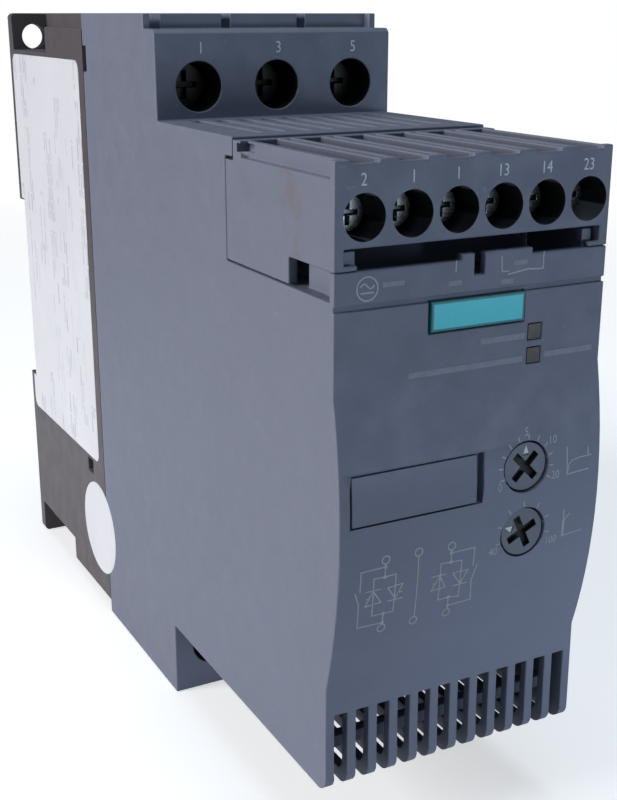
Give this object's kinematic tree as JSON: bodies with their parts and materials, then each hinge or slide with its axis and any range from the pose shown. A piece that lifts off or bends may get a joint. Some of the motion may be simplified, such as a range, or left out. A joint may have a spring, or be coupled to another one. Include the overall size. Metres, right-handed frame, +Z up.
{
  "type": "soft starter",
  "caption": "Slim soft starter for a small three-phase motor, with screw terminals above and below, a plug-off control terminal block, setting dials and a rail catch.",
  "frame": {"origin": "centre of the four panel screw holes, on the rear mounting plane", "axes": "+Z up, front faces -Y, +X to the right as seen from the front"},
  "size_m": [0.045, 0.155, 0.125],
  "materials": {
    "badge": "smooth",
    "base_plastic": "fine satin grain",
    "block_plastic": "fine satin grain",
    "board": "varnished",
    "copper": "plain copper",
    "dial_plastic": "satin",
    "heat_sink": "plain extruded",
    "hood_plastic": "fine satin grain",
    "label": "printed film, blank",
    "led": "clear",
    "moulded_black": "satin",
    "potentiometer": "satin",
    "steel": "zinc plated",
    "tinned": "tinned",
    "window": "smooth, smoky"
  },
  "bodies": {
    "housing": {"base": "base_plastic", "hood": "hood_plastic", "rating_label": "label", "round_sticker": "label", "badge_plate": "badge", "inscription_plate": "hood_plastic", "potentiometer_upper": "potentiometer", "potentiometer_lower": "potentiometer", "light_guide_upper": "window", "light_guide_lower": "window", "indicator_leds": "led", "control_board": "board", "board_spacers": "steel", "power_board": "board", "board_parts": "moulded_black", "header_body": "moulded_black", "header_pins": "tinned", "relay_left": "moulded_black", "relay_right": "moulded_black", "thyristor_left": "moulded_black", "thyristor_right": "moulded_black", "module_screws": "steel", "heat_sink": "heat_sink", "bar_l1": "copper", "bar_l3": "copper", "bar_t1": "copper", "bar_t3": "copper", "bar_centre": "copper", "catch_spring": "steel"},
    "rail_catch": {"rail_catch": "base_plastic"},
    "terminal_block": {"control_block": "block_plastic", "contact_strips": "copper"},
    "dial_ramp_time": {"dial_ramp_time": "dial_plastic"},
    "dial_start_voltage": {"dial_start_voltage": "dial_plastic"},
    "screw_l1": {"screw_l1": "steel"},
    "cage_l1": {"cage_l1": "steel"},
    "screw_l2": {"screw_l2": "steel"},
    "cage_l2": {"cage_l2": "steel"},
    "screw_l3": {"screw_l3": "steel"},
    "cage_l3": {"cage_l3": "steel"},
    "screw_t1": {"screw_t1": "steel"},
    "cage_t1": {"cage_t1": "steel"},
    "screw_t2": {"screw_t2": "steel"},
    "cage_t2": {"cage_t2": "steel"},
    "screw_t3": {"screw_t3": "steel"},
    "cage_t3": {"cage_t3": "steel"},
    "control_screw_1": {"control_screw_1": "steel"},
    "clamp_1": {"clamp_1": "steel"},
    "control_screw_2": {"control_screw_2": "steel"},
    "clamp_2": {"clamp_2": "steel"},
    "control_screw_3": {"control_screw_3": "steel"},
    "clamp_3": {"clamp_3": "steel"},
    "control_screw_4": {"control_screw_4": "steel"},
    "clamp_4": {"clamp_4": "steel"},
    "control_screw_5": {"control_screw_5": "steel"},
    "clamp_5": {"clamp_5": "steel"},
    "control_screw_6": {"control_screw_6": "steel"},
    "clamp_6": {"clamp_6": "steel"}
  },
  "joints": [
    {"name": "rail_catch_slide", "type": "slide", "parent": "housing", "child": "rail_catch", "axis": [0, 0, -1], "range_m": [0, 0.005], "stiffness_N_per_m": 400, "springref_m": -0.006, "deforming": ["catch_spring"]},
    {"name": "terminal_block_pull", "type": "slide", "parent": "housing", "child": "terminal_block", "axis": [0, -1, 0], "range_m": [0, 0.01]},
    {"name": "ramp_time_turn", "type": "hinge", "parent": "housing", "child": "dial_ramp_time", "pos_m": [0.0088, -0.15, -0.0007], "axis": [0, 1, 0], "range_deg": [-125, 125]},
    {"name": "start_voltage_turn", "type": "hinge", "parent": "housing", "child": "dial_start_voltage", "pos_m": [0.0088, -0.15, -0.011], "axis": [0, 1, 0], "range_deg": [-55, 195]},
    {"name": "screw_l1_turn", "type": "hinge", "parent": "housing", "child": "screw_l1", "pos_m": [-0.01465, -0.08, 0.0507], "axis": [0, 1, 0], "range_deg": [0, 2572]},
    {"name": "cage_l1_slide", "type": "slide", "parent": "housing", "child": "cage_l1", "axis": [0, -1, 0], "range_m": [0, 0.005]},
    {"name": "screw_l2_turn", "type": "hinge", "parent": "housing", "child": "screw_l2", "pos_m": [0, -0.08, 0.0507], "axis": [0, 1, 0], "range_deg": [0, 2572]},
    {"name": "cage_l2_slide", "type": "slide", "parent": "housing", "child": "cage_l2", "axis": [0, -1, 0], "range_m": [0, 0.005]},
    {"name": "screw_l3_turn", "type": "hinge", "parent": "housing", "child": "screw_l3", "pos_m": [0.01465, -0.08, 0.0507], "axis": [0, 1, 0], "range_deg": [0, 2572]},
    {"name": "cage_l3_slide", "type": "slide", "parent": "housing", "child": "cage_l3", "axis": [0, -1, 0], "range_m": [0, 0.005]},
    {"name": "screw_t1_turn", "type": "hinge", "parent": "housing", "child": "screw_t1", "pos_m": [-0.01465, -0.08, -0.0537], "axis": [0, 1, 0], "range_deg": [0, 2572]},
    {"name": "cage_t1_slide", "type": "slide", "parent": "housing", "child": "cage_t1", "axis": [0, -1, 0], "range_m": [0, 0.005]},
    {"name": "screw_t2_turn", "type": "hinge", "parent": "housing", "child": "screw_t2", "pos_m": [0, -0.08, -0.0537], "axis": [0, 1, 0], "range_deg": [0, 2572]},
    {"name": "cage_t2_slide", "type": "slide", "parent": "housing", "child": "cage_t2", "axis": [0, -1, 0], "range_m": [0, 0.005]},
    {"name": "screw_t3_turn", "type": "hinge", "parent": "housing", "child": "screw_t3", "pos_m": [0.01465, -0.08, -0.0537], "axis": [0, 1, 0], "range_deg": [0, 2572]},
    {"name": "cage_t3_slide", "type": "slide", "parent": "housing", "child": "cage_t3", "axis": [0, -1, 0], "range_m": [0, 0.005]},
    {"name": "control_screw_1_turn", "type": "hinge", "parent": "terminal_block", "child": "control_screw_1", "pos_m": [-0.01802, -0.145, 0.0375], "axis": [0, 1, 0], "range_deg": [0, 2881]},
    {"name": "clamp_1_slide", "type": "slide", "parent": "terminal_block", "child": "clamp_1", "axis": [0, -1, 0], "range_m": [0, 0.004]},
    {"name": "control_screw_2_turn", "type": "hinge", "parent": "terminal_block", "child": "control_screw_2", "pos_m": [-0.01069, -0.145, 0.0375], "axis": [0, 1, 0], "range_deg": [0, 2881]},
    {"name": "clamp_2_slide", "type": "slide", "parent": "terminal_block", "child": "clamp_2", "axis": [0, -1, 0], "range_m": [0, 0.004]},
    {"name": "control_screw_3_turn", "type": "hinge", "parent": "terminal_block", "child": "control_screw_3", "pos_m": [-0.00336, -0.145, 0.0375], "axis": [0, 1, 0], "range_deg": [0, 2881]},
    {"name": "clamp_3_slide", "type": "slide", "parent": "terminal_block", "child": "clamp_3", "axis": [0, -1, 0], "range_m": [0, 0.004]},
    {"name": "control_screw_4_turn", "type": "hinge", "parent": "terminal_block", "child": "control_screw_4", "pos_m": [0.00396, -0.145, 0.0375], "axis": [0, 1, 0], "range_deg": [0, 2881]},
    {"name": "clamp_4_slide", "type": "slide", "parent": "terminal_block", "child": "clamp_4", "axis": [0, -1, 0], "range_m": [0, 0.004]},
    {"name": "control_screw_5_turn", "type": "hinge", "parent": "terminal_block", "child": "control_screw_5", "pos_m": [0.01129, -0.145, 0.0375], "axis": [0, 1, 0], "range_deg": [0, 2881]},
    {"name": "clamp_5_slide", "type": "slide", "parent": "terminal_block", "child": "clamp_5", "axis": [0, -1, 0], "range_m": [0, 0.004]},
    {"name": "control_screw_6_turn", "type": "hinge", "parent": "terminal_block", "child": "control_screw_6", "pos_m": [0.01862, -0.145, 0.0375], "axis": [0, 1, 0], "range_deg": [0, 2881]},
    {"name": "clamp_6_slide", "type": "slide", "parent": "terminal_block", "child": "clamp_6", "axis": [0, -1, 0], "range_m": [0, 0.004]}
  ],
  "couplings": [
    {"joint": "screw_l1_turn", "follows": "cage_l1_slide", "rad_per_m": 8976},
    {"joint": "screw_l2_turn", "follows": "cage_l2_slide", "rad_per_m": 8976},
    {"joint": "screw_l3_turn", "follows": "cage_l3_slide", "rad_per_m": 8976},
    {"joint": "screw_t1_turn", "follows": "cage_t1_slide", "rad_per_m": 8976},
    {"joint": "screw_t2_turn", "follows": "cage_t2_slide", "rad_per_m": 8976},
    {"joint": "screw_t3_turn", "follows": "cage_t3_slide", "rad_per_m": 8976},
    {"joint": "control_screw_1_turn", "follows": "clamp_1_slide", "rad_per_m": 12566},
    {"joint": "control_screw_2_turn", "follows": "clamp_2_slide", "rad_per_m": 12566},
    {"joint": "control_screw_3_turn", "follows": "clamp_3_slide", "rad_per_m": 12566},
    {"joint": "control_screw_4_turn", "follows": "clamp_4_slide", "rad_per_m": 12566},
    {"joint": "control_screw_5_turn", "follows": "clamp_5_slide", "rad_per_m": 12566},
    {"joint": "control_screw_6_turn", "follows": "clamp_6_slide", "rad_per_m": 12566}
  ]
}
